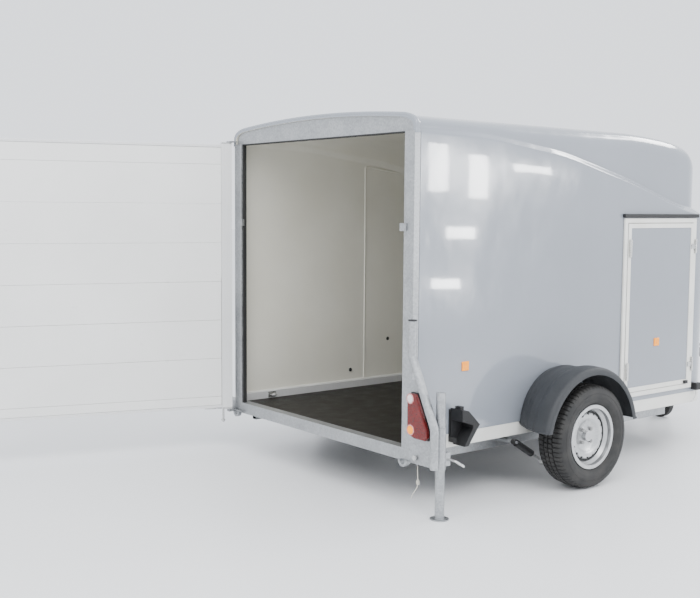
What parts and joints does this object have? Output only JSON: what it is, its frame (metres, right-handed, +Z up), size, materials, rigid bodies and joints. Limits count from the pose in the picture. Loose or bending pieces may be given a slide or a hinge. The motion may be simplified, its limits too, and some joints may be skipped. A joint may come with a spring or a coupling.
{
  "type": "enclosed box trailer",
  "caption": "Enclosed single-axle box trailer with domed polyester body, rear door that is also a ramp, side door, fenders, rear legs, jockey wheel and ball coupling.",
  "frame": {"origin": "centre of the tow ball socket in the coupling head", "axes": "+X forwards along the drawbar, towards the tow vehicle; +Y to the trailer's left; +Z up; the ground is at z = -0.42 m"},
  "size_m": [5.6675, 2.5699, 2.0868],
  "materials": {
    "grey_polyester": "gloss gel coat on glass-fibre polyester, beige inside",
    "cream_profile": "satin cream profile",
    "floor_board": "phenolic-faced plywood with an anti-slip wire pattern",
    "galvanised": "hot-dip galvanised, matt with spangle",
    "zinc": "bright zinc plated",
    "black_rubber": "matt",
    "black_plastic": "textured",
    "fender_plastic": "grained dark grey",
    "red_lens": "prismatic lamp lens",
    "amber_lens": "prismatic reflector",
    "door_white": "white lacquered aluminium planks",
    "door_frame_white": "white anodised aluminium profile",
    "black_paint": "satin black",
    "chrome_rod": "polished",
    "tyre": "radial tyre with grooved tread",
    "silver_paint": "silver wheel lacquer",
    "cast_steel": "zinc plated casting",
    "cord": "laid natural-white cord"
  },
  "bodies": {
    "chassis": {"body_shell": "grey_polyester", "lower_edge_profile": "cream_profile", "floor_panel": "floor_board", "rear_frame": "galvanised", "opening_seal": "black_rubber", "floor_edge_fittings": "black_plastic", "side_reflectors": "amber_lens", "rear_beam": "galvanised", "rear_lamps": "red_lens", "lamp_guards": "galvanised", "leg_sleeves": "galvanised", "rear_brackets": "zinc", "chassis_frame": "galvanised", "drawbar": "galvanised", "drawbar_fittings": "cast_steel", "suspension_mounts": "galvanised", "fenders": "fender_plastic", "side_fittings": "black_plastic", "rain_gutter": "black_rubber", "side_door_frame": "cream_profile", "lanyard_cord": "cord", "lanyard_knot": "cord"},
    "rear_door": {"door_frame": "door_frame_white", "door_planks": "door_white", "door_fittings": "zinc"},
    "door_latch_left": {"door_latch_lever_left": "zinc"},
    "door_latch_right": {"door_latch_lever_right": "zinc"},
    "side_door": {"side_door_panel": "grey_polyester", "side_door_border": "cream_profile", "side_door_fittings": "black_plastic"},
    "side_latch_top": {"side_latch_top": "zinc"},
    "side_latch_bottom": {"side_latch_bottom": "zinc"},
    "jockey_tube": {"jockey_tube": "galvanised"},
    "jockey_crank": {"jockey_crank": "zinc"},
    "jockey_fork": {"jockey_fork": "galvanised"},
    "jockey_wheel": {"jockey_wheel": "black_rubber"},
    "jockey_clamp_handle": {"jockey_clamp_handle": "zinc"},
    "coupling": {"coupling": "cast_steel"},
    "coupling_handle": {"coupling_handle": "cast_steel"},
    "handbrake": {"handbrake_lever": "zinc"},
    "ramp_pin": {"ramp_pin": "zinc"},
    "arm_left": {"swing_arm_left": "galvanised"},
    "wheel_left": {"tyre_left": "tyre", "wheel_rim_left": "silver_paint", "wheel_hub_left": "cast_steel"},
    "damper_tube_left": {"damper_tube_left": "black_paint"},
    "damper_rod_left": {"damper_rod_left": "chrome_rod"},
    "rear_leg_left": {"rear_leg_left": "galvanised"},
    "leg_clamp_left": {"leg_clamp_left": "zinc"},
    "wheel_chock_left": {"wheel_chock_left": "black_plastic"},
    "arm_right": {"swing_arm_right": "galvanised"},
    "wheel_right": {"tyre_right": "tyre", "wheel_rim_right": "silver_paint", "wheel_hub_right": "cast_steel"},
    "damper_tube_right": {"damper_tube_right": "black_paint"},
    "damper_rod_right": {"damper_rod_right": "chrome_rod"},
    "rear_leg_right": {"rear_leg_right": "galvanised"},
    "leg_clamp_right": {"leg_clamp_right": "zinc"},
    "wheel_chock_right": {"wheel_chock_right": "black_plastic"}
  },
  "joints": [
    {"name": "rear_door_swing", "type": "hinge", "parent": "chassis", "child": "rear_door", "pos_m": [-3.98, 0.862, 0.68], "axis": [0, 0, 1], "range_deg": [-3, 106.7]},
    {"name": "door_latch_left_turn", "type": "hinge", "parent": "rear_door", "child": "door_latch_left", "pos_m": [-3.99628, 0.89821, 1.046], "axis": [-0.2874, -0.9578, 0], "range_deg": [-90, 0]},
    {"name": "door_latch_right_turn", "type": "hinge", "parent": "rear_door", "child": "door_latch_right", "pos_m": [-5.5786, 1.37293, 1.046], "axis": [-0.2874, -0.9578, 0], "range_deg": [0, 90]},
    {"name": "side_door_swing", "type": "hinge", "parent": "chassis", "child": "side_door", "pos_m": [-1.519, -0.876, 0.53], "axis": [0, 0, 1], "range_deg": [0, 175]},
    {"name": "side_latch_top_turn", "type": "hinge", "parent": "side_door", "child": "side_latch_top", "pos_m": [-2.203, -0.859, 0.952], "axis": [0, 1, 0], "range_deg": [0, 90]},
    {"name": "side_latch_bottom_turn", "type": "hinge", "parent": "side_door", "child": "side_latch_bottom", "pos_m": [-2.203, -0.859, 0.192], "axis": [0, 1, 0], "range_deg": [0, 90]},
    {"name": "arm_swing_left", "type": "hinge", "parent": "chassis", "child": "arm_left", "pos_m": [-2.53, 0.92, -0.185], "axis": [0, 1, 0], "range_deg": [-4, 5], "stiffness_Nm_per_rad": 6000, "springref_deg": -5.73},
    {"name": "wheel_spin_left", "type": "hinge", "parent": "arm_left", "child": "wheel_left", "pos_m": [-2.845, 1.0625, -0.1257], "axis": [0, 1, 0], "continuous": true},
    {"name": "damper_swing_left", "type": "hinge", "parent": "chassis", "child": "damper_tube_left", "pos_m": [-3.205, 0.88, -0.152], "axis": [0, 1, 0], "range_deg": [-9, 9]},
    {"name": "damper_stroke_left", "type": "slide", "parent": "damper_tube_left", "child": "damper_rod_left", "axis": [0.8559, 0, -0.5171], "range_m": [-0.05, 0.05]},
    {"name": "leg_slide_left", "type": "slide", "parent": "chassis", "child": "rear_leg_left", "axis": [0, 0, 1], "range_m": [-0.244, 0.004]},
    {"name": "leg_clamp_left_turn", "type": "hinge", "parent": "chassis", "child": "leg_clamp_left", "pos_m": [-3.886, 1.049, -0.116], "axis": [0, 1, 0], "range_deg": [-60, 60]},
    {"name": "wheel_chock_left_lift", "type": "slide", "parent": "chassis", "child": "wheel_chock_left", "axis": [0, 0, 1], "range_m": [0, 0.15]},
    {"name": "arm_swing_right", "type": "hinge", "parent": "chassis", "child": "arm_right", "pos_m": [-2.53, -0.92, -0.185], "axis": [0, 1, 0], "range_deg": [-4, 5], "stiffness_Nm_per_rad": 6000, "springref_deg": -5.73},
    {"name": "wheel_spin_right", "type": "hinge", "parent": "arm_right", "child": "wheel_right", "pos_m": [-2.845, -1.0625, -0.1257], "axis": [0, 1, 0], "continuous": true},
    {"name": "damper_swing_right", "type": "hinge", "parent": "chassis", "child": "damper_tube_right", "pos_m": [-3.205, -0.88, -0.152], "axis": [0, 1, 0], "range_deg": [-9, 9]},
    {"name": "damper_stroke_right", "type": "slide", "parent": "damper_tube_right", "child": "damper_rod_right", "axis": [0.8559, 0, -0.5171], "range_m": [-0.05, 0.05]},
    {"name": "leg_slide_right", "type": "slide", "parent": "chassis", "child": "rear_leg_right", "axis": [0, 0, 1], "range_m": [0, 0.248]},
    {"name": "leg_clamp_right_turn", "type": "hinge", "parent": "chassis", "child": "leg_clamp_right", "pos_m": [-3.886, -1.049, -0.116], "axis": [0, 1, 0], "range_deg": [-60, 60]},
    {"name": "wheel_chock_right_lift", "type": "slide", "parent": "chassis", "child": "wheel_chock_right", "axis": [0, 0, 1], "range_m": [0, 0.15]},
    {"name": "ramp_pin_pull", "type": "slide", "parent": "chassis", "child": "ramp_pin", "axis": [-1, 0, 0], "range_m": [0, 0.075]},
    {"name": "jockey_tube_slide", "type": "slide", "parent": "chassis", "child": "jockey_tube", "axis": [0, 0, 1], "range_m": [0, 0.125]},
    {"name": "jockey_crank_turn", "type": "hinge", "parent": "jockey_tube", "child": "jockey_crank", "pos_m": [-0.78, -0.189, 0.29], "axis": [0, 0, 1], "continuous": true},
    {"name": "jockey_swivel", "type": "hinge", "parent": "jockey_tube", "child": "jockey_fork", "pos_m": [-0.78, -0.189, -0.185], "axis": [0, 0, 1], "continuous": true},
    {"name": "jockey_wheel_spin", "type": "hinge", "parent": "jockey_fork", "child": "jockey_wheel", "pos_m": [-0.78, -0.129, -0.315], "axis": [1, 0, 0], "continuous": true},
    {"name": "jockey_clamp_turn", "type": "hinge", "parent": "chassis", "child": "jockey_clamp_handle", "pos_m": [-0.74, -0.189, -0.02], "axis": [1, 0, 0], "continuous": true},
    {"name": "coupling_stroke", "type": "slide", "parent": "chassis", "child": "coupling", "axis": [-1, 0, 0], "range_m": [0, 0.09], "stiffness_N_per_m": 2000, "springref_m": -0.1},
    {"name": "coupling_handle_lift", "type": "hinge", "parent": "coupling", "child": "coupling_handle", "pos_m": [-0.032, 0, 0.052], "axis": [0, 1, 0], "range_deg": [0, 45]},
    {"name": "handbrake_lift", "type": "hinge", "parent": "chassis", "child": "handbrake", "pos_m": [-0.45, -0.056, 0.032], "axis": [0, -1, 0], "range_deg": [0, 60]}
  ],
  "couplings": [
    {"joint": "damper_swing_left", "follows": "arm_swing_left", "ratio": -1.0981},
    {"joint": "damper_stroke_left", "follows": "arm_swing_left", "m_per_rad": -0.31098},
    {"joint": "damper_swing_right", "follows": "arm_swing_right", "ratio": -1.0981},
    {"joint": "damper_stroke_right", "follows": "arm_swing_right", "m_per_rad": -0.31098}
  ]
}
